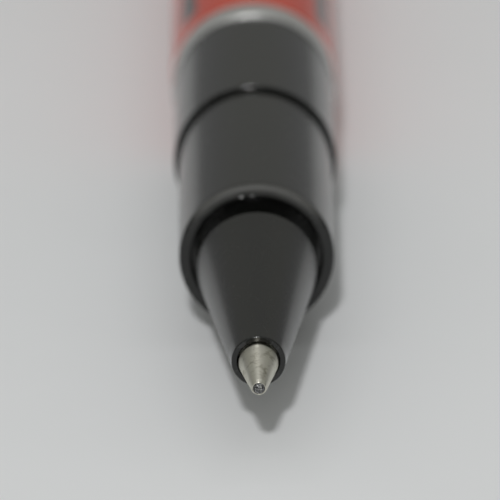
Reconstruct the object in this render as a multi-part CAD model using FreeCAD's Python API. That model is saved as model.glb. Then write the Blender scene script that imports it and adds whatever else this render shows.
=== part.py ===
import FreeCAD, Part
import math
import os

# Capped rollerball pen, cap pushed on the tail.
# Millimetres. The pen's axis is Y, the writing tip points to -Y, +Z is up.
# Stations along the axis are given as s, the distance from the front of the
# writing ball, and the frame's origin is the middle of the bare barrel, where
# a clamp or a loop would hold the pen.

V = FreeCAD.Vector

# ---- driving dimensions ----------------------------------------------------
S_BALL_C = 0.35          # centre of the writing ball
R_BALL = 0.35
R_SOCKET = 0.362         # spherical seat, running clearance 0.012

S_LIP = 0.20             # front edge of the point
R_LIP = 0.40
S_CONE_END = 3.70        # root of the point's cone
R_POINT = 1.09
R_POINT_NECK = 0.90      # relief behind the cone's root

S_NOSE_TIP = 3.93        # flat front of the nose's rim
S_RIM = 4.14             # rim's outer circle
R_RIM = 1.535
R_NOSE_BORE = 1.16
S_NOSE_BASE = 17.60      # rear edge of the nose cone, ahead of the shoulder
R_NOSE_BASE = 3.50
R_NECK = 3.15            # neck behind the nose cone, the groove's floor
R_RECESS = 3.80          # mouth of the section round the neck
S_RECESS = 20.10
S_NECK_END = 26.50
S_SHOULDER = 19.10       # front face of the grip section
R_SECTION = 4.50
R_SECTION_REAR = 4.64
SHOULDER_FILLET = 0.30

S_COLLAR = 34.75
R_COLLAR = 4.92
S_RING = 47.20
R_RING = 5.14
S_BARREL = 49.55
S_BARREL_END = 102.00
R_BARREL = 5.20
R_BARREL_IN = 4.45

R_SPIGOT = 4.02          # section's spigot under collar and ring
R_RING_IN = 4.06         # trim ring runs on the spigot
R_THREAD_CORE = 3.62
R_THREAD_CREST = 3.88
R_THREAD_BUSH = 3.95
THREAD_PITCH = 1.00
S_THREAD_0 = 51.70
S_THREAD_1 = 56.90

R_TAIL = 4.52            # posting tail
S_TAIL_END = 116.00
R_PLUG = 3.70
S_PLUG_END = 121.00

S_MOUTH = 102.10         # cap's mouth
S_BAND_END = 104.10
S_CAP_END = 150.00
R_CAP = 5.45
R_CAP_IN = 4.60
S_LINER = 116.80
S_LINER_END = 140.00
R_LINER_IN = 4.00
S_CROWN = 150.80
S_CROWN_END = 155.00
R_CROWN_FLAT = 2.60

CLIP_ANGLE = 118.5       # degrees from the top, towards +X
CLIP_WIDTH = 3.40
CLIP_IN = 7.30
CLIP_OUT = 8.20
S_CLIP_HINGE = 147.90
S_CLIP_TIP = 111.60

R_TUBE = 2.95
R_TUBE_IN = 2.42
S_TUBE = 27.50
S_INK = 31.00

S0 = 75.15               # station of the frame's origin


# ---- helpers ---------------------------------------------------------------
def p(r, s):
    return V(r, s - S0, 0)


def revolve(points):
    """Closed profile of (r, s) points turned about the pen's axis.
    A point (r, s, rm, sm) is reached by an arc through (rm, sm)."""
    edges = []
    first = points[0]
    last = first
    for q in points[1:] + [first[:2]]:
        a, b = p(*last[:2]), p(*q[:2])
        if a.distanceToPoint(b) > 1e-7:
            if len(q) == 4:
                edges.append(Part.Arc(a, p(q[2], q[3]), b).toShape())
            else:
                edges.append(Part.LineSegment(a, b).toShape())
        last = q
    face = Part.Face(Part.Wire(edges))
    solid = face.revolve(V(0, 0, 0), V(0, 1, 0), 360)
    if solid.Volume < 0:
        solid.reverse()
    return solid


def tube(r_out, r_in, s0, s1, ch=0.0):
    if ch:
        return revolve([(r_in, s0), (r_out - ch, s0), (r_out, s0 + ch),
                        (r_out, s1 - ch), (r_out - ch, s1), (r_in, s1)])
    return revolve([(r_in, s0), (r_out, s0), (r_out, s1), (r_in, s1)])


def rod(r, s0, s1, ch=0.0):
    return revolve([(0, s0), (r - ch, s0), (r, s0 + ch), (r, s1 - ch), (r - ch, s1), (0, s1)])


def coil(r_mean, wire, s0, s1, turns):
    """Open helical spring with a round wire, along the pen's axis."""
    pitch = (s1 - s0 - 2 * wire) / turns
    helix = Part.makeHelix(pitch, pitch * turns, r_mean)
    prof = Part.Wire(Part.makeCircle(wire, V(r_mean, 0, 0), V(0, 1, 0)))
    body = Part.Wire(helix.Edges).makePipeShell([prof], True, True)
    body.rotate(V(0, 0, 0), V(1, 0, 0), -90)
    body.translate(V(0, s0 + wire - S0, 0))
    return body


# ---- refill ----------------------------------------------------------------
def socket_r(s):
    return math.sqrt(R_SOCKET ** 2 - (s - S_BALL_C) ** 2)


parts = {}

parts["writing_ball"] = Part.makeSphere(R_BALL, V(0, S_BALL_C - S0, 0), V(1, 0, 0))

parts["point_body"] = revolve([
    (socket_r(S_LIP), S_LIP),
    (R_LIP, S_LIP),
    (0.47, 0.42, 0.445, 0.29),
    (R_POINT, S_CONE_END),
    (R_POINT, S_CONE_END + 0.06),
    (R_POINT_NECK, S_CONE_END + 0.12),
    (R_POINT_NECK, 4.60),
    (R_POINT, 4.70),
    (R_POINT, 7.00),
    (0.95, 7.00),
    (0.95, 10.00),
    (0.50, 10.00),
    (0.50, 1.80),
    (0.20, 1.50),
    (0.20, 0.70),
    (socket_r(0.60), 0.60),
])
# the socket itself is cut as a sphere so that the seat is a true ball seat
parts["point_body"] = parts["point_body"].cut(
    Part.makeSphere(R_SOCKET, V(0, S_BALL_C - S0, 0)))

parts["refill_front"] = revolve([
    (0.95, 7.00), (1.70, 7.00), (1.70, 12.00), (2.00, 16.00), (2.00, S_NECK_END),
    (R_TUBE, S_NECK_END), (R_TUBE, S_TUBE), (R_TUBE_IN, S_TUBE), (R_TUBE_IN, S_INK),
    (0.60, S_INK), (0.60, 10.00), (0.95, 10.00)])

parts["ink_tube"] = tube(R_TUBE, R_TUBE_IN, S_TUBE, 106.00)
parts["ink_fill"] = rod(R_TUBE_IN - 0.01, S_INK, 74.00)
parts["ink_follower"] = revolve([
    (0, 74.00), (R_TUBE_IN - 0.01, 74.00), (R_TUBE_IN - 0.01, 78.60),
    (1.60, 78.00), (0.70, 77.70), (0, 77.60)])
parts["refill_end_plug"] = revolve([
    (0.40, 102.00), (R_TUBE_IN, 102.00), (R_TUBE_IN, 106.00), (R_TUBE, 106.00),
    (R_TUBE, 107.20), (1.40, 107.20), (1.20, 108.60), (0.40, 108.60)])
parts["refill_spring"] = coil(2.00, 0.22, 107.20, 112.95, 5)

# ---- nose and section ------------------------------------------------------
parts["nose_cone"] = revolve([
    (R_NOSE_BORE, 4.00),
    (1.21, S_NOSE_TIP),
    (1.41, S_NOSE_TIP),
    (R_RIM, S_RIM, 1.492, 3.992),
    (R_NOSE_BASE - 0.02, S_NOSE_BASE - 0.10),
    (R_NOSE_BASE - 0.11, S_NOSE_BASE, R_NOSE_BASE - 0.04, S_NOSE_BASE - 0.03),
    (R_NECK + 0.06, S_NOSE_BASE),
    (R_NECK, S_NOSE_BASE + 0.06),
    (R_NECK, S_NECK_END),
    (2.20, S_NECK_END),
    (2.20, 16.00),
    (1.85, 12.00),
    (1.85, 6.60),
    (R_NOSE_BORE, 6.20)])

f = SHOULDER_FILLET
c45 = math.cos(math.radians(45))
section = revolve([
    (R_RECESS, S_SHOULDER + 0.10),
    (R_RECESS + 0.10, S_SHOULDER, R_RECESS + 0.10 - 0.10 * c45, S_SHOULDER + 0.10 - 0.10 * c45),
    (R_SECTION - f, S_SHOULDER),
    (R_SECTION, S_SHOULDER + f, R_SECTION - f + f * c45, S_SHOULDER + f - f * c45),
    (R_SECTION_REAR, S_COLLAR - 0.02),
    (R_SPIGOT, S_COLLAR - 0.02),
    (R_SPIGOT, 49.65),
    (3.68, 49.65),
    (3.68, 50.55),
    (R_SPIGOT, 50.55),
    (R_SPIGOT, 51.00),
    (R_THREAD_CORE, 51.20),
    (R_THREAD_CORE, 58.00),
    (R_THREAD_CORE - 0.20, 58.30),
    (3.10, 58.30),
    (3.10, S_NECK_END),
    (R_NECK, S_NECK_END),
    (R_NECK, S_RECESS),
    (R_RECESS, S_RECESS)])

# right-hand thread ridge on the spigot
turns = (S_THREAD_1 - S_THREAD_0) / THREAD_PITCH
helix = Part.makeHelix(THREAD_PITCH, THREAD_PITCH * turns, R_THREAD_CORE)
ridge_profile = Part.makePolygon([
    V(R_THREAD_CORE - 0.10, 0, -0.34), V(R_THREAD_CREST, 0, -0.10),
    V(R_THREAD_CREST, 0, 0.10), V(R_THREAD_CORE - 0.10, 0, 0.34),
    V(R_THREAD_CORE - 0.10, 0, -0.34)])
ridge = Part.Wire(helix.Edges).makePipeShell([ridge_profile], True, True)
ridge.rotate(V(0, 0, 0), V(1, 0, 0), -90)
ridge.translate(V(0, S_THREAD_0 - S0, 0))
parts["grip_section"] = section.fuse(ridge).removeSplitter()

parts["section_collar"] = revolve([
    (R_SPIGOT, S_COLLAR), (R_COLLAR - 0.12, S_COLLAR),
    (R_COLLAR, S_COLLAR + 0.12, R_COLLAR - 0.12 + 0.12 * c45, S_COLLAR + 0.12 - 0.12 * c45),
    (R_COLLAR, S_RING - 0.06), (R_COLLAR - 0.06, S_RING), (R_SPIGOT, S_RING)])

parts["seal_ring"] = Part.makeTorus(4.05, 0.36, V(0, 50.10 - S0, 0), V(0, 1, 0))

g = 0.16
parts["trim_ring"] = revolve([
    (R_RING_IN, S_RING), (R_RING - g, S_RING),
    (R_RING, S_RING + g, R_RING - g + g * c45, S_RING + g - g * c45),
    (R_RING, S_BARREL - g),
    (R_RING - g, S_BARREL, R_RING - g + g * c45, S_BARREL - g + g * c45),
    (R_RING_IN, S_BARREL)])

# ---- barrel ----------------------------------------------------------------
parts["barrel_tube"] = tube(R_BARREL, R_BARREL_IN, S_BARREL, S_BARREL_END, 0.08)
parts["thread_bush"] = tube(R_BARREL_IN, R_THREAD_BUSH, 51.40, 57.40)
parts["tail_spigot"] = revolve([
    (3.15, 94.00), (R_BARREL_IN, 94.00), (R_BARREL_IN, S_BARREL_END),
    (R_TAIL, S_BARREL_END), (R_TAIL, S_TAIL_END - 0.35),
    (R_TAIL - 0.35, S_TAIL_END, R_TAIL - 0.35 + 0.35 * c45, S_TAIL_END - 0.35 + 0.35 * c45),
    (3.15, S_TAIL_END)])
parts["tail_plug"] = revolve([
    (0.50, 113.00), (3.15, 113.00), (3.15, S_TAIL_END), (R_PLUG, S_TAIL_END),
    (R_PLUG, 118.80), (2.60, S_PLUG_END - 0.30, 3.42, 120.05),
    (2.00, S_PLUG_END), (0, S_PLUG_END), (0, 114.50), (0.50, 114.50)])

# ---- cap -------------------------------------------------------------------
parts["cap_band"] = revolve([
    (R_CAP_IN, S_MOUTH + 0.10), (R_CAP_IN + 0.10, S_MOUTH), (R_CAP - g, S_MOUTH),
    (R_CAP, S_MOUTH + g, R_CAP - g + g * c45, S_MOUTH + g - g * c45),
    (R_CAP, S_BAND_END - 0.08), (R_CAP - 0.08, S_BAND_END), (R_CAP_IN, S_BAND_END)])
parts["cap_shell"] = tube(R_CAP, R_CAP_IN, S_BAND_END, S_CAP_END, 0.08)
parts["inner_cap"] = revolve([
    (R_LINER_IN + 0.15, S_LINER), (R_CAP_IN, S_LINER), (R_CAP_IN, S_LINER_END),
    (0, S_LINER_END), (0, 138.20), (R_LINER_IN - 0.6, 138.20),
    (R_LINER_IN, 137.60), (R_LINER_IN, S_LINER + 0.30)])
parts["crown_bush"] = tube(R_CAP_IN, 1.50, 141.00, 148.50)
parts["crown_stud"] = rod(1.50, 142.00, 153.40, 0.20)
parts["cap_crown"] = revolve([
    (3.00, S_CROWN), (R_CAP - 0.10, S_CROWN), (R_CAP, S_CROWN + 0.10),
    (R_CAP, 152.60),
    (R_CROWN_FLAT + 0.3, S_CROWN_END - 0.14, 4.62, 154.26),
    (R_CROWN_FLAT, S_CROWN_END), (0, S_CROWN_END), (0, 153.50), (1.50, 153.50),
    (1.50, 148.60), (3.00, 148.60)])

# clip: root ring with its tab, and the arm
phi = math.radians(CLIP_ANGLE)
U = V(math.sin(phi), 0, math.cos(phi))      # outwards
T = V(-math.cos(phi), 0, math.sin(phi))     # across the strip, the flex axis


def strip(points, width, name_round=0.0):
    """Side outline of (h, s) points, extruded across the clip's width."""
    edges = []
    last = points[0]

    def q(h, s, w):
        return V(U.x * h + T.x * w, s - S0, U.z * h + T.z * w)
    w0 = -0.5 * width
    for pt in points[1:] + [points[0][:2]]:
        a, b = q(last[0], last[1], w0), q(pt[0], pt[1], w0)
        if a.distanceToPoint(b) > 1e-7:
            if len(pt) == 4:
                edges.append(Part.Arc(a, q(pt[2], pt[3], w0), b).toShape())
            else:
                edges.append(Part.LineSegment(a, b).toShape())
        last = pt
    face = Part.Face(Part.Wire(edges))
    solid = face.extrude(V(T.x * width, 0, T.z * width))
    if solid.Volume < 0:
        solid.reverse()
    return solid


h_mid = 0.5 * (CLIP_IN + CLIP_OUT)
t2 = 0.5 * (CLIP_OUT - CLIP_IN)
ring = tube(R_CAP, 3.00, S_CAP_END, S_CROWN, 0.05)
tab = strip([
    (4.40, S_CAP_END + 0.02), (CLIP_IN, S_CAP_END + 0.02), (CLIP_IN, S_CLIP_HINGE + t2 + 0.10),
    (CLIP_OUT, S_CLIP_HINGE + t2 + 0.10), (CLIP_OUT, S_CROWN - 0.62),
    (CLIP_OUT - 0.60, S_CROWN - 0.02, CLIP_OUT - 0.60 + 0.60 * c45, S_CROWN - 0.62 + 0.60 * c45),
    (4.40, S_CROWN - 0.02)], CLIP_WIDTH)
parts["clip_ring"] = ring.fuse(tab).removeSplitter()

# arm: half-round root on the flex axis, straight run, a heel that nearly
# touches the cap, and a lifted tip
arm = strip([
    (CLIP_IN, S_CLIP_HINGE),
    (CLIP_IN, 121.00),
    (5.92, 116.60, 6.90, 118.90),
    (5.50, 114.90, 5.58, 115.70),
    (5.92, 113.20, 5.60, 114.00),
    (6.75, S_CLIP_TIP, 6.25, 112.35),
    (7.42, S_CLIP_TIP + 0.50, 7.24, 111.80),
    (6.82, 113.70),
    (6.50, 114.90, 6.56, 114.30),
    (6.84, 116.90, 6.56, 115.95),
    (CLIP_OUT, 121.60, 7.83, 119.30),
    (CLIP_OUT, S_CLIP_HINGE),
    (CLIP_IN, S_CLIP_HINGE, h_mid, S_CLIP_HINGE + t2),
], CLIP_WIDTH)
parts["clip_arm"] = arm

# ---- write -----------------------------------------------------------------
os.makedirs("parts", exist_ok=True)
for name, shape in parts.items():
    solids = shape.Solids
    if len(solids) == 1:
        shape = solids[0]
    if not shape.isValid():
        print("INVALID", name)
    print("%-18s solids %d volume %10.4f" % (name, len(solids), shape.Volume))
    shape.exportStep("parts/%s.step" % name)
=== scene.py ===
"""Capped rollerball pen, cap on the tail, lying on a table.

The pen's axis is Y and the writing tip points to -Y. A station is the distance
in millimetres along the axis from the front of the writing ball. Angles round
the axis start at +Z and grow towards +X.
"""

import math
from functools import cached_property

import bmesh
import bpy
import numpy as np
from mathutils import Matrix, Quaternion, Vector


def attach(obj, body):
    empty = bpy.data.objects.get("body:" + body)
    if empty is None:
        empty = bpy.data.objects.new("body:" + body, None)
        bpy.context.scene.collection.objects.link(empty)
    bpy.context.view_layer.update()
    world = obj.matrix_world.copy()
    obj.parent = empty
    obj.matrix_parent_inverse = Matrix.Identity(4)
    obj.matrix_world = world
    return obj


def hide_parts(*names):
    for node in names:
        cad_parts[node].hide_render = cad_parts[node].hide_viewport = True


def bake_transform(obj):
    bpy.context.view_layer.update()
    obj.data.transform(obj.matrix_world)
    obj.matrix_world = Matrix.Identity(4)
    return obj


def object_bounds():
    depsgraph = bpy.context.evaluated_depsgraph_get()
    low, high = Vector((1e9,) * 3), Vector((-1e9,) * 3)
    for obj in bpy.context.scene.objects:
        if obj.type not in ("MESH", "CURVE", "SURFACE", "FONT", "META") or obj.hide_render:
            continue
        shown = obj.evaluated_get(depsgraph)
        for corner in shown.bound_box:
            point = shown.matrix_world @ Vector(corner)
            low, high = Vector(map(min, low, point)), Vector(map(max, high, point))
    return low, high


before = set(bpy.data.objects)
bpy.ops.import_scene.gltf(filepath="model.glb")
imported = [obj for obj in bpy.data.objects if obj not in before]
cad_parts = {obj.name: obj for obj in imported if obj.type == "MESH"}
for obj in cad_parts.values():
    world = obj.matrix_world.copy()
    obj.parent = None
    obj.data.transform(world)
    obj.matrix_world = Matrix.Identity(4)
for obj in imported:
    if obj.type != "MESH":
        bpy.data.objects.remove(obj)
cad_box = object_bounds()
scene = bpy.context.scene

MM = 0.001
TAU = 2.0 * math.pi

# Stations where the pieces meet
ORIGIN = 75.15  # the station at the world origin
SHANK_END = 7.00
GRIP_START = 19.10
NOSE_END = 26.50
COLLAR = 34.75
RING = 47.20
BARREL = 49.55
TAIL_START = 94.00
BARREL_END = 102.00
CAP_MOUTH = 102.10
BAND_END = 104.10
TAIL_END = 116.00
CAP_TUBE_END = 150.00
WASHER_END = 150.80

# Radii shared by several pieces
BALL_R = 0.35
SOCKET_R = 0.362
POINT_R = 1.09
NOSE_BORE_R = 1.16
NOSE_SPIGOT_R = 3.15
GRIP_SPIGOT_R = 4.02
RING_BORE_R = 4.06
BARREL_R, BARREL_BORE_R = 5.20, 4.45
TAIL_R, TAIL_BORE_R = 4.52, 3.15
CAP_R, CAP_BORE_R = 5.45, 4.60
CROWN_SPIGOT_R = 3.00


# ---------------------------------------------------------------------------
# half-sections
# ---------------------------------------------------------------------------
def unit(x, y):
    length = math.hypot(x, y) or 1.0
    return x / length, y / length


def gap(start, end):
    return math.hypot(end[0] - start[0], end[1] - start[1])


def side_normal(start, end, turn):
    """Outward normal of a straight side; turn is 1 if the outline runs anticlockwise."""
    x, y = unit(end[0] - start[0], end[1] - start[1])
    return y * turn, -x * turn


def fillet_rows(before, corner, after, turn):
    """Rows (radius, station, normal radius, normal station) round one corner."""
    x, y, fillet = corner
    normal_in = side_normal(before, corner, turn)
    normal_out = side_normal(corner, after, turn)
    back = unit(before[0] - x, before[1] - y)
    ahead = unit(after[0] - x, after[1] - y)
    inner = math.acos(max(-1.0, min(1.0, back[0] * ahead[0] + back[1] * ahead[1])))
    if math.pi - inner < 0.02 or inner < 0.02:
        return [(x, y, *unit(normal_in[0] + normal_out[0], normal_in[1] + normal_out[1]))]
    # the fillet takes less than half of either side
    half_tan = math.tan(inner / 2)
    tangent = min(fillet / half_tan, 0.48 * gap(before, corner), 0.48 * gap(corner, after))
    fillet = tangent * half_tan
    middle = unit(back[0] + ahead[0], back[1] + ahead[1])
    centre_x = x + middle[0] * fillet / math.sin(inner / 2)
    centre_y = y + middle[1] * fillet / math.sin(inner / 2)
    convex = normal_in[0] * middle[0] + normal_in[1] * middle[1] < 0
    reach = fillet if convex else -fillet
    first = math.atan2(normal_in[1], normal_in[0])
    bend = math.atan2(normal_out[1], normal_out[0]) - first
    bend = (bend + math.pi) % TAU - math.pi
    cuts = max(4, int(math.ceil(abs(bend) / math.radians(9))))
    rows = []
    for j in range(cuts + 1):
        angle = first + bend * j / cuts
        x, y = math.cos(angle), math.sin(angle)
        rows.append((centre_x + reach * x, centre_y + reach * y, x, y))
    return rows


def profile(corners, closed, step):
    """Turns corners (radius, station, fillet) into rows of (radius, station, normal
    radius, normal station). Straight runs are cut into lengths of about `step`.
    An open half-section starts and ends on the axis."""
    count = len(corners)
    area = sum(a[0] * b[1] - b[0] * a[1] for a, b in zip(corners, corners[1:] + corners[:1]))
    turn = 1.0 if area > 0 else -1.0
    arcs = []
    for i, corner in enumerate(corners):
        if not closed and i in (0, count - 1):
            start, end = corners[:2] if i == 0 else corners[-2:]
            arcs.append([(*corner[:2], *side_normal(start, end, turn))])
        else:
            arcs.append(fillet_rows(corners[i - 1], corner, corners[(i + 1) % count], turn))
    rows = []
    for i, arc in enumerate(arcs):
        rows += arc
        if not closed and i == count - 1:
            break
        start, end = arc[-1], arcs[(i + 1) % count][0]
        cuts = int(gap(start, end) / step)
        for j in range(1, cuts + 1):
            part = j / (cuts + 1)
            rows.append((start[0] + (end[0] - start[0]) * part,
                         start[1] + (end[1] - start[1]) * part,
                         *side_normal(start, end, turn)))
    clean = []
    for row in rows:
        if not clean or gap(row, clean[-1]) >= 1e-5:
            clean.append(row)
    if closed and gap(clean[0], clean[-1]) < 1e-5:
        clean.pop()
    return clean, turn


# ---------------------------------------------------------------------------
# meshes
# ---------------------------------------------------------------------------
def link_mesh(name, mesh):
    mesh.shade_smooth()
    obj = bpy.data.objects.new(name, mesh)
    scene.collection.objects.link(obj)
    return obj


def make_object(name, verts, faces, normals=None):
    mesh = bpy.data.meshes.new(name)
    mesh.from_pydata(verts, [], faces)
    mesh.validate()
    mesh.update()
    obj = link_mesh(name, mesh)
    if normals is not None:
        mesh.normals_split_custom_set_from_vertices(normals)
    return obj


def lathe(name, corners, step, closed=True, segs=192, shape=None):
    """A turned piece. `shape(radius, station, angle)` may give a point a new
    radius; the normals then come from the mesh itself."""
    rows, turn = profile(corners, closed, step)
    verts, normals, rings = [], [], []
    for radius, station, normal_r, normal_s in rows:
        if radius < 1e-6:
            rings.append([len(verts)] * segs)
            verts.append((0.0, (station - ORIGIN) * MM, 0.0))
            normals.append((0.0, 1.0 if normal_s > 0 else -1.0, 0.0))
            continue
        rings.append(range(len(verts), len(verts) + segs))
        for k in range(segs):
            angle = TAU * k / segs
            x, z = math.sin(angle), math.cos(angle)
            reach = shape(radius, station, angle) if shape else radius
            verts.append((reach * x * MM, (station - ORIGIN) * MM, reach * z * MM))
            normals.append((normal_r * x, normal_s, normal_r * z))
    faces = []
    for i in range(len(rings) if closed else len(rings) - 1):
        here, there = rings[i], rings[(i + 1) % len(rings)]
        for k in range(segs):
            n = (k + 1) % segs
            face = (here[k], there[k], there[n], here[n])
            if here[k] == here[n]:
                face = (here[k], there[k], there[n])
            elif there[k] == there[n]:
                face = (here[k], there[k], here[n])
            faces.append(face[::-1] if turn > 0 else face)
    obj = make_object(name, verts, faces, None if shape else normals)
    if shape:
        obj.data.set_sharp_from_angle(angle=math.radians(50))
    return obj


def sweep(name, path, section):
    """A strip along a path of (point, outward, across) rows; section(part of the way)
    gives (across, outward) pairs. Both ends are closed."""
    verts, faces = [], []
    for i, (point, outward, across) in enumerate(path):
        ring = section(i / (len(path) - 1))
        count = len(ring)
        for x, y in ring:
            verts.append(tuple((point + across * x + outward * y) * MM))
    for i in range(len(path) - 1):
        for k in range(count):
            j = (k + 1) % count
            faces.append((i * count + k, i * count + j,
                          (i + 1) * count + j, (i + 1) * count + k))
    faces.append(tuple(reversed(range(count))))
    faces.append(tuple(range(len(verts) - count, len(verts))))
    return make_object(name, verts, faces)


def rounded_rect(width, height, corner_r, crown, cuts=5, face_cuts=8):
    """Strip section with rounded corners and a crowned outer face, anticlockwise
    from the right end of the outer face."""
    x_in, y_in = width / 2 - corner_r, height / 2 - corner_r
    points = []
    for x, y, start in ((x_in, y_in, 0), (-x_in, y_in, 90),
                        (-x_in, -y_in, 180), (x_in, -y_in, 270)):
        for j in range(cuts + 1):
            angle = math.radians(start + 90 * j / cuts)
            points.append((x + corner_r * math.cos(angle), y + corner_r * math.sin(angle)))
        if start in (0, 180):
            side = 1 if start == 0 else -1
            for j in range(1, face_cuts):
                points.append((x - side * (width - 2 * corner_r) * j / face_cuts,
                               side * height / 2))
    return [(x, y - crown * (2 * x / width) ** 2 if y > 0 else y) for x, y in points]


# ---------------------------------------------------------------------------
# shader building
# ---------------------------------------------------------------------------
class Value:
    """A shader output; arithmetic on it adds Math nodes."""

    def __init__(self, shader, socket):
        self.shader = shader
        self.socket = socket

    def __add__(self, other):
        return self.shader.calc("ADD", self, other)

    def __sub__(self, other):
        return self.shader.calc("SUBTRACT", self, other)

    def __mul__(self, other):
        return self.shader.calc("MULTIPLY", self, other)

    def __abs__(self):
        return self.shader.calc("ABSOLUTE", self)

    def ramp(self, start, end, low=0.0, high=1.0):
        """Smooth step from low at `start` to high at `end`."""
        return self.shader.add("MapRange", {0: self, 1: start, 2: end, 3: low, 4: high},
                               interpolation_type="SMOOTHSTEP")


MATERIALS = {}
TYPICAL_R = 5.0  # pen radius that turns an angle into a length in textures
INPUTS = {"base": "Base Color", "metal": "Metallic", "rough": "Roughness", "ior": "IOR",
          "normal": "Normal", "coat": "Coat Weight", "coat_rough": "Coat Roughness",
          "coat_ior": "Coat IOR", "coat_normal": "Coat Normal", "aniso": "Anisotropic",
          "aniso_turn": "Anisotropic Rotation", "tangent": "Tangent",
          "trans": "Transmission Weight", "spec": "Specular IOR Level",
          "sss": "Subsurface Weight", "sss_scale": "Subsurface Scale"}


class Shader:
    """A Principled material with coordinates in millimetres along and round the pen."""

    def __init__(self, name):
        material = bpy.data.materials.new(name)
        material.use_nodes = True
        self.tree = material.node_tree
        self.tree.nodes.clear()
        output = self.tree.nodes.new("ShaderNodeOutputMaterial")
        self.bsdf = self.tree.nodes.new("ShaderNodeBsdfPrincipled")
        self.tree.links.new(self.bsdf.outputs[0], output.inputs[0])
        MATERIALS[name] = material

    def put(self, socket, value):
        if isinstance(value, Value):
            self.tree.links.new(value.socket, socket)
        elif isinstance(value, tuple) and socket.type == "RGBA":
            socket.default_value = (*value, 1.0)
        else:
            socket.default_value = value

    def add(self, kind, inputs, output=0, **settings):
        node = self.tree.nodes.new("ShaderNode" + kind)
        for key, value in settings.items():
            setattr(node, key, value)
        for key, value in inputs.items():
            self.put(node.inputs[key], value)
        return Value(self, node.outputs[output])

    def set(self, **inputs):
        for key, value in inputs.items():
            self.put(self.bsdf.inputs[INPUTS[key]], value)

    def calc(self, operation, *operands, clamp=False):
        return self.add("Math", dict(enumerate(operands)), operation=operation, use_clamp=clamp)

    # coordinates
    @cached_property
    def mm(self):
        position = self.add("TexCoord", {}, output="Object")
        return self.add("VectorMath", {0: position, "Scale": 1 / MM}, operation="SCALE")

    @cached_property
    def axes(self):
        node = self.add("SeparateXYZ", {0: self.mm}).socket.node
        return [Value(self, output) for output in node.outputs]

    x = property(lambda self: self.axes[0])
    y = property(lambda self: self.axes[1])
    z = property(lambda self: self.axes[2])

    @cached_property
    def station(self):
        return self.y + ORIGIN

    @cached_property
    def angle(self):
        return self.calc("ARCTAN2", self.x, self.z)

    @cached_property
    def radius(self):
        return self.length(self.x, self.z)

    def length(self, x, y):
        return self.calc("SQRT", x * x + y * y)

    def vector(self, x, y, z):
        return self.add("CombineXYZ", {0: x, 1: y, 2: z})

    def around(self, along):
        """Coordinates that follow the turned surface, scaled by `along` on the axis."""
        return self.vector(self.calc("SINE", self.angle) * TYPICAL_R,
                           self.station * along,
                           self.calc("COSINE", self.angle) * TYPICAL_R)

    # textures
    def noise(self, vector, scale, detail=3.0, rough=0.55, distort=0.0):
        return self.add("TexNoise", {"Vector": vector, "Scale": scale, "Detail": detail,
                                     "Roughness": rough, "Distortion": distort})

    def noise_along(self, scale, detail=2.0, rough=0.5):
        """Noise that changes only along the axis."""
        return self.add("TexNoise", {"W": self.station, "Scale": scale, "Detail": detail,
                                     "Roughness": rough}, noise_dimensions="1D")

    def cells(self, scale):
        return self.add("TexVoronoi", {"Vector": self.mm, "Scale": scale}, output="Distance")

    def scratches(self, strength):
        """A few fine hairlines in three crossing directions."""
        masks = []
        for i, slant in enumerate((0.35, -0.6, 1.25)):
            girth = self.angle * TYPICAL_R
            along = girth * math.cos(slant) + self.station * math.sin(slant)
            across = self.station * math.cos(slant) - girth * math.sin(slant)
            stretched = self.vector(x=along * 0.35, y=across * 9.0, z=3.7 * i)
            hairs = self.noise(stretched, scale=1.0, detail=2.0, rough=0.5)
            masks.append(hairs.ramp(start=0.70, end=0.74))
        pair = self.calc("MAXIMUM", masks[0], masks[1])
        return self.calc("MAXIMUM", pair, masks[2]) * strength

    # combining
    def layer(self, under, mask, color, strength=None):
        """Lays `color` over `under` where the mask is, at an optional strength."""
        if strength is not None:
            mask = mask * strength
        return self.add("Mix", {"Factor": mask, 6: under, 7: color}, output=2, data_type="RGBA")

    def lift(self, level, mask, gain, clamp=False):
        return self.calc("ADD", level, mask * gain, clamp=clamp)

    def vary(self, level, texture, swing):
        return self.lift(level, texture - 0.5, gain=swing)

    def bump(self, height, strength, distance, normal=None):
        """Bump with its distance in millimetres, over an earlier normal if given."""
        inputs = {"Strength": strength, "Distance": distance * MM, "Height": height}
        if normal is not None:
            inputs["Normal"] = normal
        return self.add("Bump", inputs)


def scaled(color, factor):
    return tuple(channel * factor for channel in color)


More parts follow.
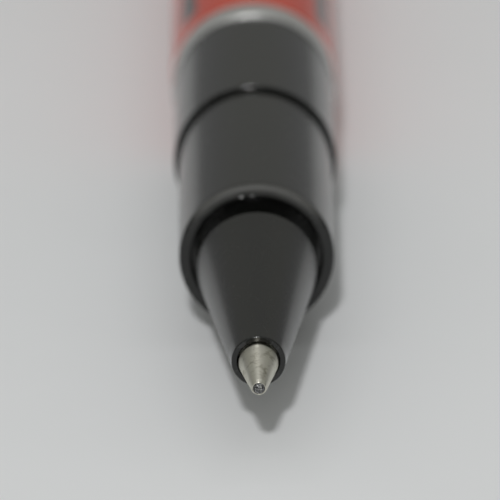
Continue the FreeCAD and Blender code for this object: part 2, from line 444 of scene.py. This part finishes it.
# ---------------------------------------------------------------------------
# materials
# ---------------------------------------------------------------------------
def turned_metal(name, base, rough, pitch, depth, aniso, tarnish, dull, grime=0.55, streak=0.35):
    """Tool rings of uneven depth, a grain that stretches the highlight along the
    axis, handling tarnish and tiny pits."""
    mat = Shader(name)
    rings = mat.noise_along(scale=1.0 / pitch, detail=3.0, rough=0.6)
    broad = mat.noise_along(scale=1.3)
    stretched = mat.vector(x=mat.angle * 1.3, y=mat.station * 26.0, z=0.0)
    fine = mat.noise(stretched, scale=1.0, rough=0.6)
    patch = mat.noise(mat.mm, scale=grime, detail=4.0, rough=0.62, distort=0.6)
    pits = mat.cells(scale=5.0).ramp(start=0.10, end=0.04)
    pits *= mat.noise(mat.mm, scale=1.7, detail=2.0).ramp(start=0.5, end=0.6)
    stain = patch.ramp(start=0.48, end=0.72) * tarnish
    tone = mat.layer(base, fine, strength=streak, color=scaled(base, 0.72))
    tone = mat.layer(tone, stain, color=dull)
    tone = mat.layer(tone, pits, strength=0.6, color=scaled(dull, 0.35))
    rough = mat.vary(rough, rings, swing=0.14)
    rough = mat.lift(rough, stain, gain=0.12)
    rough = mat.lift(rough, pits, gain=0.2, clamp=True)
    ring_share, broad_share = 0.6, 0.4
    normal = mat.bump(rings * ring_share + broad * broad_share, strength=depth, distance=0.008)
    normal = mat.bump(fine, strength=0.20 * depth, distance=0.004, normal=normal)
    normal = mat.bump(pits, strength=-0.4, distance=0.01, normal=normal)
    tangent = mat.add("Tangent", {}, direction_type="RADIAL", axis="Y")
    mat.set(base=tone, metal=1.0, rough=rough, normal=normal, aniso=aniso,
            aniso_turn=0.25, tangent=tangent)


def paint_lit_rims(mat, tone, rough, rims):
    """Paints the upper side of rims a lighter grey, a painted highlight of the light from above,
    and makes it rougher there: (station from, to, radius from, to, tone).
    """
    # painted highlight: only the upper side of each rim gets the lighter grey
    top = mat.z.ramp(start=1.8, end=3.6)
    patchy = mat.noise(mat.mm, scale=1.1, rough=0.6).ramp(start=0.2, end=0.7, low=0.65)
    for front, back, inner, outer, grey in rims:
        lit_band = mat.station.ramp(front, back, low=1.0, high=0.0) * mat.radius.ramp(inner, outer)
        lit_band = lit_band * top * patchy
        tone = mat.layer(tone, lit_band, color=(grey, grey, grey * 0.94))
        rough = mat.lift(rough, lit_band, gain=0.25)
    return tone, rough


def black_plastic(name, base, rough, fine, smear, rims=(), lamp_glints=(), satin=None):
    """Moulded black plastic: flow marks, finger smears, hairlines, dust and lighter
    edges. Rims get a painted highlight, a lighter grey on their upper side. The light dots given
    as (x, z, size, tone, last station) are painted highlights of a lamp; satin is (from, to,
    roughness)."""
    mat = Shader(name)
    smears = mat.noise(mat.around(along=0.5), scale=0.35, detail=4.0, rough=0.6, distort=0.4)
    grain = mat.noise(mat.mm, scale=14.0, rough=0.6)
    lines = mat.scratches(strength=1.0)
    dust = mat.cells(scale=0.9).ramp(start=0.055, end=0.03)
    dust *= mat.noise(mat.mm, scale=0.6, detail=2.0).ramp(start=0.48, end=0.62)
    cloud = mat.noise(mat.around(along=0.35), scale=0.5, detail=2.0)
    tone = mat.layer(base, cloud, color=scaled(base, 1.5))
    tone = mat.layer(tone, lines, strength=0.12, color=(0.09, 0.09, 0.088))
    tone = mat.layer(tone, dust, strength=0.35, color=(0.22, 0.21, 0.19))
    edge = mat.add("NewGeometry", {}, output="Pointiness").ramp(start=0.53, end=0.60)
    tone = mat.layer(tone, edge, strength=0.25, color=(0.05, 0.05, 0.048))
    rough = mat.vary(rough, smears, swing=smear * 2)
    if rims:
        tone, rough = paint_lit_rims(mat, tone, rough, rims)
    # painted highlights: small light dots where a lamp glints on the recess edge
    for x, z, size, grey, last in lamp_glints:
        away = mat.length(mat.x - x, mat.z - z)
        dot = away.ramp(start=0.35 * size, end=size, low=1.0, high=0.0)
        dot *= mat.station.ramp(start=last, end=last + 0.1, low=1.0, high=0.0)
        tone = mat.layer(tone, dot, color=(grey, grey, grey))
    if satin:
        front, back, extra = satin
        soft = mat.station.ramp(front, front + 0.8) * mat.station.ramp(back, back - 0.4)
        rough = mat.lift(rough, soft, gain=extra)
    rough = mat.lift(rough, lines, gain=0.10)
    rough = mat.lift(rough, dust, gain=0.4, clamp=True)
    normal = mat.bump(grain, strength=0.10 * fine, distance=0.006)
    flow = mat.noise(mat.around(along=0.15), scale=0.9, detail=2.0)
    normal = mat.bump(flow, strength=0.10, distance=0.012, normal=normal)
    normal = mat.bump(dust, strength=0.5, distance=0.02, normal=normal)
    mat.set(base=tone, rough=rough, ior=1.5, normal=normal)


def hard_ball():
    """Textured hard-metal ball, mostly wet with ink."""
    mat = Shader("hard_ball")
    wet = mat.noise(mat.mm, scale=5.5, rough=0.6).ramp(start=0.40, end=0.56)
    grit = mat.noise(mat.mm, scale=13.0, detail=2.0, rough=0.7).ramp(start=0.46, end=0.62)
    tone = mat.layer((0.006, 0.006, 0.006), grit, color=(0.62, 0.62, 0.61))
    tone = mat.layer(tone, wet, strength=0.7, color=(0.010, 0.010, 0.013))
    rough = mat.lift(0.16, mat.noise(mat.mm, scale=30.0, detail=2.0), gain=0.20)
    ink_coat = 0.3
    mat.set(base=tone, metal=wet.ramp(start=0, end=1, low=1.0, high=0.1), rough=rough,
            normal=mat.bump(mat.cells(scale=12.0), strength=1.0, distance=0.02),
            coat=wet * ink_coat, coat_rough=0.08)


def stripe_mask(mat):
    """One stripe to each side of a line just off the top, on the barrel and the cap."""
    middle, wander = 0.06, 0.05  # radians
    wobble = (mat.noise_along(scale=0.5) - 0.5) * wander
    off = abs(mat.angle + wobble - middle)
    band = off.ramp(start=0.80, end=0.86) * off.ramp(start=1.14, end=1.08)
    station = mat.station
    on_barrel = station.ramp(start=51.3, end=52.2) * station.ramp(start=99.4, end=98.6)
    on_cap = station.ramp(start=107.0, end=107.8) * station.ramp(start=147.0, end=146.2)
    return band * mat.calc("MAXIMUM", on_barrel, on_cap)


def red_lacquer():
    """Red-orange lacquer with two dark stripes, under a clear gloss coat with orange
    peel, smears and fine hairlines."""
    mat = Shader("red_lacquer")
    cloud = mat.noise(mat.around(along=0.6), scale=0.5, detail=4.0, rough=0.6, distort=0.3)
    pearl = mat.noise(mat.mm, scale=24.0, detail=2.0, rough=0.5)
    red = mat.layer((0.56, 0.050, 0.017), cloud, color=(0.45, 0.034, 0.012))
    red = mat.layer(red, pearl.ramp(start=0.55, end=0.75), strength=0.30,
                    color=(0.60, 0.085, 0.03))
    dark = mat.layer((0.012, 0.012, 0.014), pearl, color=(0.035, 0.034, 0.036))
    tone = mat.layer(red, stripe_mask(mat), color=dark)
    lines = mat.scratches(strength=1.0)
    smear = mat.noise(mat.around(along=0.4), scale=0.3, detail=4.0, rough=0.6, distort=0.5)
    coat_rough = mat.lift(0.05, smear.ramp(start=0.45, end=0.75), gain=0.10)
    coat_rough = mat.lift(coat_rough, lines, gain=0.18)
    peel = mat.noise(mat.mm, scale=3.2, detail=2.0, rough=0.5)
    coat_normal = mat.bump(peel, strength=0.10, distance=0.02)
    coat_normal = mat.bump(lines, strength=-0.15, distance=0.004, normal=coat_normal)
    mat.set(base=tone, metal=0.0, rough=mat.lift(0.30, cloud, gain=0.12),
            normal=mat.bump(pearl, strength=0.08, distance=0.006), spec=0.2, coat=0.45,
            coat_rough=coat_rough, coat_ior=1.5, coat_normal=coat_normal)


def clip_chrome():
    """Bright plated strip, brushed along its length, rubbed at the heel."""
    mat = Shader("clip_chrome")
    heel = 114.9
    stretched = mat.vector(x=mat.x * 22.0, y=mat.y * 0.6, z=mat.z * 22.0)
    brush = mat.noise(stretched, scale=1.0, rough=0.6)
    patch = mat.noise(mat.mm, scale=0.45, detail=4.0, rough=0.6, distort=0.5)
    worn = abs(mat.station - heel).ramp(start=4.0, end=1.0) * patch.ramp(start=0.4, end=0.7)
    tone = mat.layer((0.78, 0.78, 0.76), brush, strength=0.22, color=(0.52, 0.52, 0.50))
    tone = mat.layer(tone, worn, strength=0.5, color=(0.62, 0.56, 0.44))
    rough = mat.lift(0.12, brush, gain=0.14)
    rough = mat.lift(rough, patch.ramp(start=0.5, end=0.8), gain=0.12)
    rough = mat.lift(rough, worn, gain=0.2, clamp=True)
    mat.set(base=tone, metal=1.0, rough=rough,
            normal=mat.bump(brush, strength=0.12, distance=0.005))


def spring_steel():
    """Drawn wire with a patchy warm tint."""
    mat = Shader("spring_steel")
    stretched = mat.vector(x=mat.radius * 40.0, y=mat.angle * 1.5, z=mat.station)
    drawn = mat.noise(stretched, scale=1.0)
    heat = mat.noise(mat.mm, scale=0.9, detail=2.0).ramp(start=0.5, end=0.8)
    tone = mat.layer((0.52, 0.51, 0.49), drawn, color=(0.36, 0.35, 0.33))
    tone = mat.layer(tone, heat, strength=0.3, color=(0.35, 0.27, 0.17))
    mat.set(base=tone, metal=1.0, rough=mat.lift(0.26, drawn, gain=0.16),
            normal=mat.bump(drawn, strength=0.2, distance=0.004))


def rubber_seal():
    """Black rubber with a pale bloom and a fine moulding line round it."""
    mat = Shader("rubber_seal")
    moulding_line = 49.3
    grain = mat.noise(mat.mm, scale=16.0, rough=0.6)
    bloom = mat.noise(mat.mm, scale=1.2).ramp(start=0.5, end=0.8)
    tone = mat.layer((0.015, 0.015, 0.015), bloom, strength=0.5, color=(0.06, 0.06, 0.058))
    flash = abs(mat.station - moulding_line).ramp(start=0.03, end=0.0)
    normal = mat.bump(grain, strength=0.25, distance=0.01)
    normal = mat.bump(flash, strength=0.4, distance=0.02, normal=normal)
    mat.set(base=tone, rough=mat.lift(0.50, grain, gain=0.2), normal=normal)


def moulded(name, base, rough, trans=0.0, sss=0.0):
    """Moulded plastic with flow lines and a faint haze."""
    mat = Shader(name)
    flow = mat.noise(mat.around(along=0.12), scale=1.4, rough=0.6, distort=0.6)
    grain = mat.noise(mat.mm, scale=12.0)
    normal = mat.bump(grain, strength=0.12, distance=0.008)
    normal = mat.bump(flow, strength=0.12, distance=0.02, normal=normal)
    mat.set(base=mat.layer(base, flow, strength=0.5, color=scaled(base, 0.82)),
            rough=mat.vary(rough, grain, swing=0.18), normal=normal, ior=1.49, trans=trans)
    if sss:
        mat.set(sss=sss, sss_scale=0.0006)


def liquid(name, base, rough, swirl):
    """Liquid with swirls drawn out along the axis."""
    mat = Shader(name)
    stretched = mat.vector(x=mat.x, y=mat.y * 0.35, z=mat.z)
    swirls = mat.noise(stretched, scale=swirl, rough=0.6, distort=0.8)
    mat.set(base=mat.layer(base, swirls, color=scaled(base, 0.55)),
            rough=mat.lift(rough, swirls, gain=0.12), ior=1.36,
            normal=mat.bump(swirls, strength=0.10, distance=0.02))


def table_paper():
    """Pale paper with a fine tooth and broad mottling."""
    mat = Shader("table_paper")
    tooth = mat.noise(mat.mm, scale=3.0, detail=4.0, rough=0.6)
    mottle = mat.noise(mat.mm, scale=0.05)
    mat.set(base=mat.layer((0.786, 0.797, 0.808), mottle, color=(0.752, 0.762, 0.772)),
            rough=0.62, normal=mat.bump(tooth, strength=0.05, distance=0.01), spec=0.35)


turned_metal("nickel_silver", base=(0.65, 0.635, 0.555), rough=0.34, pitch=0.085, depth=0.9,
             aniso=0.90, tarnish=0.75, dull=(0.26, 0.245, 0.19), grime=2.2, streak=0.6)
turned_metal("trim_silver", base=(0.66, 0.66, 0.65), rough=0.34, pitch=0.12, depth=0.25,
             aniso=0.40, tarnish=0.12, dull=(0.45, 0.45, 0.43))
turned_metal("brass_bush", base=(0.72, 0.50, 0.20), rough=0.30, pitch=0.16, depth=0.5,
             aniso=0.6, tarnish=0.35, dull=(0.28, 0.17, 0.07))
black_plastic("black_gloss", base=(0.0028, 0.0030, 0.0026), rough=0.15, fine=0.4, smear=0.05,
              satin=(4.4, 17.5, 0.11))
black_plastic("black_grip", base=(0.0034, 0.0036, 0.0031), rough=0.18, fine=0.5, smear=0.05,
              # rims: lighter grey painted on the upper side of the front shoulder, a painted
              # highlight
              rims=((19.13, 19.20, 3.78, 4.02, 0.022),
                    (19.28, 19.50, 3.92, 4.36, 0.062)),
              # painted highlights: two light dots where lamps glint on the recess edge
              lamp_glints=((-0.83, 3.79, 0.16, 0.34, 19.25),
                     (-0.22, 3.86, 0.16, 0.17, 19.25)))
hard_ball()
red_lacquer()
clip_chrome()
spring_steel()
rubber_seal()
moulded("natural_plastic", base=(0.70, 0.69, 0.64), rough=0.38, sss=0.25)
moulded("liner_plastic", base=(0.10, 0.10, 0.105), rough=0.42)
moulded("clear_tube", base=(0.86, 0.88, 0.88), rough=0.16, trans=0.75)
liquid("ink_blue", base=(0.010, 0.022, 0.16), rough=0.06, swirl=0.9)
liquid("grease", base=(0.62, 0.58, 0.42), rough=0.22, swirl=2.2)


def give(obj, slot, body=None, part=None):
    """Gives a piece its material, the body it rides on and the CAD part it replaces."""
    obj.data.materials.clear()
    obj.data.materials.append(MATERIALS[slot])
    if body is not None:
        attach(obj, body)
    if part is not None:
        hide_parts(part)


def turned(name, slot, body, part, corners, step, **options):
    give(lathe(name, corners, step, **options), slot, body, part)


# ---------------------------------------------------------------------------
# the writing end; all corner tables are (radius, station, fillet)
# ---------------------------------------------------------------------------
def ball_piece():
    """The writing ball as a quad sphere: a cut cube spread evenly over the ball."""
    bm = bmesh.new()
    bmesh.ops.create_cube(bm, size=1.0)
    bmesh.ops.subdivide_edges(bm, edges=bm.edges[:], cuts=15, use_grid_fill=True)

    def spread(a, b, c):
        return a * math.sqrt(max(0.0, 1 - b * b / 2 - c * c / 2 + b * b * c * c / 3))

    for vert in bm.verts:
        x, y, z = (2.0 * c for c in vert.co)
        round_co = Vector((spread(x, y, z), spread(y, z, x), spread(z, x, y))).normalized()
        vert.co = round_co * BALL_R * MM
        vert.co.y += (BALL_R - ORIGIN) * MM
    mesh = bpy.data.meshes.new("writing_ball_surface")
    bm.to_mesh(mesh)
    bm.free()
    return link_mesh("writing_ball_surface", mesh)


give(ball_piece(), "hard_ball", "ball", "writing_ball")

# metal point: crimped lip over the ball, cone, shank in the nose
LIP = 0.20
lip_r = math.sqrt(SOCKET_R ** 2 - (BALL_R - LIP) ** 2)
seat_r = math.sqrt(SOCKET_R ** 2 - 0.25 ** 2)
turned("metal_point", "nickel_silver", "section", "point_body", [
    (lip_r, LIP, 0.006), (0.372, LIP, 0.02), (0.430, 0.345, 0.05), (0.470, 0.44, 0.05),
    (POINT_R, 3.70, 0.03), (POINT_R, 3.76, 0.02), (0.90, 3.82, 0.03), (0.90, 4.60, 0.03),
    (POINT_R, 4.70, 0.03), (POINT_R, SHANK_END, 0.02), (0.95, SHANK_END, 0.02),
    (0.95, 10.0, 0.02), (0.50, 10.0, 0.02), (0.50, 1.80, 0.02), (0.20, 1.50, 0.02),
    (0.20, 0.70, 0.01), (seat_r, 0.602, 0.005), (0.325, 0.51, 0.02), (0.3615, 0.37, 0.02)],
    step=0.25, segs=160)

turned("nose_cone_shell", "black_gloss", "section", "nose_cone", [
    (NOSE_BORE_R, 4.00, 0.02), (1.20, 3.93, 0.03), (1.485, 3.93, 0.08), (3.47, 17.36, 0.0),
    (3.50, 17.60, 0.12), (NOSE_SPIGOT_R, 17.60, 0.05), (NOSE_SPIGOT_R, NOSE_END, 0.02),
    (2.20, NOSE_END, 0.02), (2.20, 16.00, 0.1), (1.85, 12.00, 0.1), (1.85, 6.60, 0.1),
    (NOSE_BORE_R, 6.20, 0.1)], step=0.8)

# grip section, with a thread of 1 mm pitch on its spigot
CREST_R, CORE_R = 3.88, 3.62
THREAD_START, THREAD_END = 51.55, 57.40
THREAD_FADE = 0.35  # length over which the ridge rises and dies at each end
THREAD_PHASE = 51.70  # station of a crest at an angle of 90 degrees


def clamp(value):
    return min(1.0, max(0.0, value))


def thread_radius(radius, station, angle):
    on_core = CORE_R - 0.02 <= radius <= CORE_R + 0.02
    if not on_core or station < 51.35 or station > 57.85:
        return radius
    lead = (math.degrees(angle) - 90.0) / 360.0
    turns = station - THREAD_PHASE - lead
    off_crest = abs(turns - round(turns))
    start = clamp((station - THREAD_START) / THREAD_FADE)
    stop = clamp((THREAD_END - station) / THREAD_FADE)
    rise = clamp((0.30 - off_crest) / 0.17)
    rise = rise * rise * (3 - 2 * rise)
    return radius + (CREST_R - CORE_R) * rise * start * stop


GRIP_SHOULDER = COLLAR - 0.02
# close rows along the thread, so that the ridge is real
thread_rows = [(CORE_R, 51.36 + 0.0625 * i, 0.0) for i in range(105)]
turned("grip_section_shell", "black_grip", "section", "grip_section", [
    (3.80, GRIP_START, 0.08), (4.50, GRIP_START, 0.29), (4.64, GRIP_SHOULDER, 0.02),
    (GRIP_SPIGOT_R, GRIP_SHOULDER, 0.02), (GRIP_SPIGOT_R, 49.65, 0.04), (3.68, 49.65, 0.06),
    (3.68, 50.55, 0.06), (GRIP_SPIGOT_R, 50.55, 0.04), (GRIP_SPIGOT_R, 51.00, 0.05),
    (CORE_R, 51.20, 0.05), *thread_rows, (CORE_R, 58.00, 0.03), (3.42, 58.30, 0.03),
    (3.10, 58.30, 0.03), (3.10, NOSE_END, 0.02), (NOSE_SPIGOT_R, NOSE_END, 0.02),
    (NOSE_SPIGOT_R, 20.10, 0.03), (3.80, 20.10, 0.05)], step=0.9, shape=thread_radius)

turned("collar_sleeve", "black_gloss", "section", "section_collar", [
    (GRIP_SPIGOT_R, COLLAR, 0.03), (4.92, COLLAR, 0.12), (4.98, RING, 0.04),
    (GRIP_SPIGOT_R, RING, 0.03)], step=0.9)

turned("silver_ring", "trim_silver", "ring", "trim_ring", [
    (RING_BORE_R, RING, 0.04), (5.14, RING, 0.09), (5.14, BARREL, 0.10),
    (RING_BORE_R, BARREL, 0.04)], step=0.3)

# ---------------------------------------------------------------------------
# barrel and tail
# ---------------------------------------------------------------------------
turned("barrel_lacquered_tube", "red_lacquer", "barrel", "barrel_tube", [
    (BARREL_BORE_R, BARREL, 0.05), (BARREL_R, BARREL, 0.12), (BARREL_R, BARREL_END, 0.12),
    (BARREL_BORE_R, BARREL_END, 0.05)], step=1.5)

turned("posting_tail", "black_gloss", "barrel", "tail_spigot", [
    (TAIL_BORE_R, TAIL_START, 0.05), (BARREL_BORE_R, TAIL_START, 0.10),
    (BARREL_BORE_R, BARREL_END, 0.02), (TAIL_R, 102.02, 0.01), (TAIL_R, TAIL_END, 0.35),
    (TAIL_BORE_R, TAIL_END, 0.04)], step=1.2)

turned("tail_end_plug", "black_gloss", "barrel", "tail_plug", [
    (0.0, 121.00, 0.0), (2.00, 121.00, 0.20), (2.60, 120.72, 0.4), (3.40, 120.10, 0.6),
    (3.70, 118.80, 0.3), (3.70, TAIL_END, 0.05), (TAIL_BORE_R, TAIL_END, 0.02),
    (TAIL_BORE_R, 113.00, 0.08), (0.50, 113.00, 0.05), (0.50, 114.50, 0.03),
    (0.0, 114.50, 0.0)], step=0.8, closed=False, segs=160)

# ---------------------------------------------------------------------------
# cap
# ---------------------------------------------------------------------------
# mouth band with a fine groove round it
turned("cap_mouth_band", "trim_silver", "cap", "cap_band", [
    (CAP_BORE_R, CAP_MOUTH, 0.08), (CAP_R, CAP_MOUTH, 0.18), (CAP_R, 102.72, 0.0),
    (5.41, 102.77, 0.03), (5.41, 102.85, 0.03), (CAP_R, 102.90, 0.0),
    (CAP_R, BAND_END, 0.07), (CAP_BORE_R, BAND_END, 0.02)], step=0.4)

turned("cap_lacquered_tube", "red_lacquer", "cap", "cap_shell", [
    (CAP_BORE_R, BAND_END, 0.02), (CAP_R, BAND_END, 0.09), (CAP_R, CAP_TUBE_END, 0.09),
    (CAP_BORE_R, CAP_TUBE_END, 0.02)], step=1.5)

turned("cap_crown_end", "black_gloss", "cap", "cap_crown", [
    (0.0, 154.86, 0.0), (2.36, 154.86, 0.05), (2.50, 155.00, 0.06), (2.70, 154.98, 0.2),
    (3.40, 154.76, 1.2), (4.45, 154.34, 1.2), (5.12, 153.55, 1.2), (CAP_R, 152.60, 0.8),
    (CAP_R, WASHER_END, 0.12), (CROWN_SPIGOT_R, WASHER_END, 0.04),
    (CROWN_SPIGOT_R, 148.60, 0.05), (1.50, 148.60, 0.05), (1.50, 153.50, 0.03),
    (0.0, 153.50, 0.0)], step=0.5, closed=False)

turned("clip_root_washer", "clip_chrome", "cap", "clip_ring", [
    (CROWN_SPIGOT_R, CAP_TUBE_END, 0.04), (CAP_R, CAP_TUBE_END, 0.12),
    (CAP_R, WASHER_END, 0.12), (CROWN_SPIGOT_R, WASHER_END, 0.04)], step=0.6)

# ---------------------------------------------------------------------------
# clip: one sprung strip from the washer, round the shoulder, down to the heel
# and out again to a lifted tip. Heights are distances from the pen's axis.
# ---------------------------------------------------------------------------
CLIP_ANGLE = math.radians(118.5)
CLIP_OUT = Vector((math.sin(CLIP_ANGLE), 0.0, math.cos(CLIP_ANGLE)))
CLIP_ACROSS = Vector((-math.cos(CLIP_ANGLE), 0.0, math.sin(CLIP_ANGLE)))
CLIP_HEIGHT = 7.75
CLIP_WIDTH = 3.40
BEND_R = 0.90
BEND_HEIGHT, BEND_STATION = CLIP_HEIGHT - BEND_R, 149.50  # centre of the shoulder bend
# (height, station); the first and last points only steer the curve
HEEL_CURVE = [(CLIP_HEIGHT, 124.5), (CLIP_HEIGHT, 122.0), (7.42, 119.6), (6.45, 116.85),
              (6.03, 114.95), (6.32, 113.35), (7.02, 112.05), (7.6, 111.2)]


def spline(points, cuts):
    """Catmull-Rom curve from the second point to the last but one."""
    curve = []
    for i in range(1, len(points) - 2):
        before, start, end, after = (np.array(points[i + k]) for k in (-1, 0, 1, 2))
        for j in range(cuts):
            t = j / cuts
            curve.append(tuple(0.5 * (
                (2 * start) + (-before + end) * t
                + (2 * before - 5 * start + 4 * end - after) * t * t
                + (-before + 3 * start - 3 * end + after) * t ** 3)))
    curve.append(points[-2])
    return curve


def clip_vector(height, along):
    return CLIP_OUT * height + Vector((0.0, along, 0.0))


def clip_path():
    line = [(4.5 + 0.4 * i, BEND_STATION + BEND_R) for i in range(6)]
    for i in range(11):
        angle = math.radians(90 - 9 * i)
        line.append((BEND_HEIGHT + BEND_R * math.cos(angle),
                     BEND_STATION + BEND_R * math.sin(angle)))
    line += [(CLIP_HEIGHT, BEND_STATION - 1.25 * i) for i in range(1, 22)]
    line += spline(HEEL_CURVE, cuts=7)
    path = []
    for i, (height, station) in enumerate(line):
        before = line[max(0, i - 1)]
        after = line[min(len(line) - 1, i + 1)]
        rise, run = unit(after[0] - before[0], after[1] - before[1])
        # the outer face is to the left of travel
        path.append((clip_vector(height, station - ORIGIN), clip_vector(-run, rise),
                     CLIP_ACROSS))
    return path


def clip_section(part):
    """Thinner at the root, narrowing towards the tip, with a smaller end."""
    width = CLIP_WIDTH
    if part > 0.72:
        taper = (part - 0.72) / 0.28
        width = CLIP_WIDTH - 0.55 * taper * taper
    thickness = 0.72 if part < 0.08 else 0.84
    size = 0.80 if part > 0.985 else 1.0
    outline = rounded_rect(width, thickness, corner_r=0.22, crown=0.10)
    return [(x * size, y * size) for x, y in outline]


def clip_piece():
    obj = sweep("clip_strip", clip_path(), clip_section)
    bm = bmesh.new()
    bm.from_mesh(obj.data)
    bmesh.ops.recalc_face_normals(bm, faces=bm.faces[:])
    bm.to_mesh(obj.data)
    bm.free()
    obj.data.shade_smooth()
    obj.data.set_sharp_from_angle(angle=math.radians(40))
    return obj


clip = clip_piece()
give(clip, "clip_chrome")
tuple(clip_vector(CLIP_HEIGHT, 149.3 - ORIGIN) * MM)
tuple(clip_vector(CLIP_HEIGHT, 146.3 - ORIGIN) * MM)
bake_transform(clip)
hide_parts("clip_arm")

# pieces that keep their CAD mesh
KEPT = {"refill_front": "natural_plastic", "ink_tube": "clear_tube", "ink_fill": "ink_blue",
        "ink_follower": "grease", "refill_end_plug": "natural_plastic",
        "refill_spring": "spring_steel", "seal_ring": "rubber_seal",
        "thread_bush": "brass_bush", "inner_cap": "liner_plastic",
        "crown_bush": "brass_bush", "crown_stud": "trim_silver"}
for node_name, slot_name in KEPT.items():
    give(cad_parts[node_name], slot_name)

# ---------------------------------------------------------------------------
# stage, light and camera, in metres
# ---------------------------------------------------------------------------
scene.view_settings.view_transform = "Standard"
FLOOR_Z = min(cad_box[0].z, -CAP_R * MM) - 0.00002
FLOOR_RINGS = (0.1, 0.25, 0.5, 1.0, 2.0, 4.5)
FLOOR_SEGS = 96


def floor_piece():
    """A flat disc of rings round a centre point."""
    verts, faces = [(0.0, 0.0, FLOOR_Z)], []
    for radius in FLOOR_RINGS:
        for k in range(FLOOR_SEGS):
            angle = TAU * k / FLOOR_SEGS
            verts.append((radius * math.cos(angle), radius * math.sin(angle), FLOOR_Z))
    for k in range(FLOOR_SEGS):
        faces.append((0, 1 + k, 1 + (k + 1) % FLOOR_SEGS))
    for i in range(len(FLOOR_RINGS) - 1):
        inner = 1 + i * FLOOR_SEGS
        outer = inner + FLOOR_SEGS
        for k in range(FLOOR_SEGS):
            n = (k + 1) % FLOOR_SEGS
            faces.append((inner + k, outer + k, outer + n, inner + n))
    obj = make_object("table_top", verts, faces)
    table_paper()
    obj.data.materials.append(MATERIALS["table_paper"])


def studio_world():
    """A grey surround that changes with height."""
    # (ramp position, brightness, blue as a share of it)
    stops = [(0.0, 0.28, 1.0), (0.17, 0.28, 1.0), (0.37, 0.33, 0.94), (0.60, 0.39, 0.94),
             (0.75, 0.40, 0.98), (0.90, 0.22, 1.0), (1.0, 0.20, 1.0)]
    world = bpy.data.worlds.new("studio")
    world.use_nodes = True
    scene.world = world
    nodes, links = world.node_tree.nodes, world.node_tree.links
    background = nodes["Background"]
    coords = nodes.new("ShaderNodeTexCoord")
    split = nodes.new("ShaderNodeSeparateXYZ")
    ramp = nodes.new("ShaderNodeValToRGB")
    elements = ramp.color_ramp.elements
    elements.remove(elements[1])
    for i, (position, level, blue) in enumerate(stops):
        stop = elements[0] if i == 0 else elements.new(position)
        stop.position = position
        stop.color = (level, level * 1.01, level * blue, 1.0)
    links.new(coords.outputs["Generated"], split.inputs[0])
    links.new(split.outputs[2], ramp.inputs[0])
    links.new(ramp.outputs[0], background.inputs[0])
    background.inputs["Strength"].default_value = 1.0


def area_light(name, place, size, radiance, size_y=None, target=None):
    """A disc, or a rectangle if size_y is given; it faces down without a target."""
    data = bpy.data.lights.new(name, "AREA")
    data.shape = "RECTANGLE" if size_y else "DISK"
    data.size = size
    if size_y:
        data.size_y = size_y
        area = size * size_y
    else:
        area = math.pi * size * size / 4
    data.energy = radiance * math.pi * area
    obj = bpy.data.objects.new(name, data)
    obj.location = place
    obj.rotation_mode = "QUATERNION"
    if target is not None:
        obj.rotation_quaternion = (target - Vector(place)).to_track_quat("-Z", "Y")
    obj.visible_camera = False
    scene.collection.objects.link(obj)
    return data


def lights():
    area_light("over", (-0.01, -0.05, 0.42), size=0.50, size_y=0.10, radiance=1.6)
    # small lamp on the camera's side, a little to the left
    tip = Vector((0.0, -0.0748, 0.0))
    height, aside = math.radians(38.5), math.radians(-4.5)
    distance = 0.80
    toward = Vector((math.sin(aside) * math.cos(height),
                     -math.cos(aside) * math.cos(height), math.sin(height)))
    lamp = area_light("front", tuple(tip + toward * distance), size=0.050, radiance=232.0,
                      target=tip)
    lamp.spread = math.radians(120.0)


def camera():
    """A long lens in front of the tip, looking slightly down along the pen."""
    elevation, roll = math.radians(21.85), math.radians(-0.8)
    distance = 0.289
    shift_right, shift_up = -0.3815 * MM, 0.491 * MM
    data = bpy.data.cameras.new("camera")
    obj = bpy.data.objects.new("camera", data)
    scene.collection.objects.link(obj)
    data.sensor_width = 36.0
    data.sensor_fit = "HORIZONTAL"
    data.lens = 360.0
    target = Vector((0.0, (GRIP_START - ORIGIN) * MM, 0.0))
    back = Vector((0.0, -math.cos(elevation), math.sin(elevation)))
    right = Vector((1.0, 0.0, 0.0))
    up = right.cross(-back).normalized()
    obj.location = target + back * distance + right * shift_right + up * shift_up
    obj.rotation_mode = "QUATERNION"
    facing = (-back).to_track_quat("-Z", "Y")
    obj.rotation_quaternion = facing @ Quaternion((0, 0, 1), roll)
    data.clip_start, data.clip_end = 0.01, 20.0
    focus = bpy.data.objects.new("focus_point", None)
    focus.location = (0.0, -0.0742, 0.0004)
    scene.collection.objects.link(focus)
    data.dof.use_dof = True
    data.dof.focus_object = focus
    data.dof.aperture_fstop = 70.0
    data.dof.aperture_blades = 0
    scene.camera = obj


floor_piece()
studio_world()
lights()
camera()
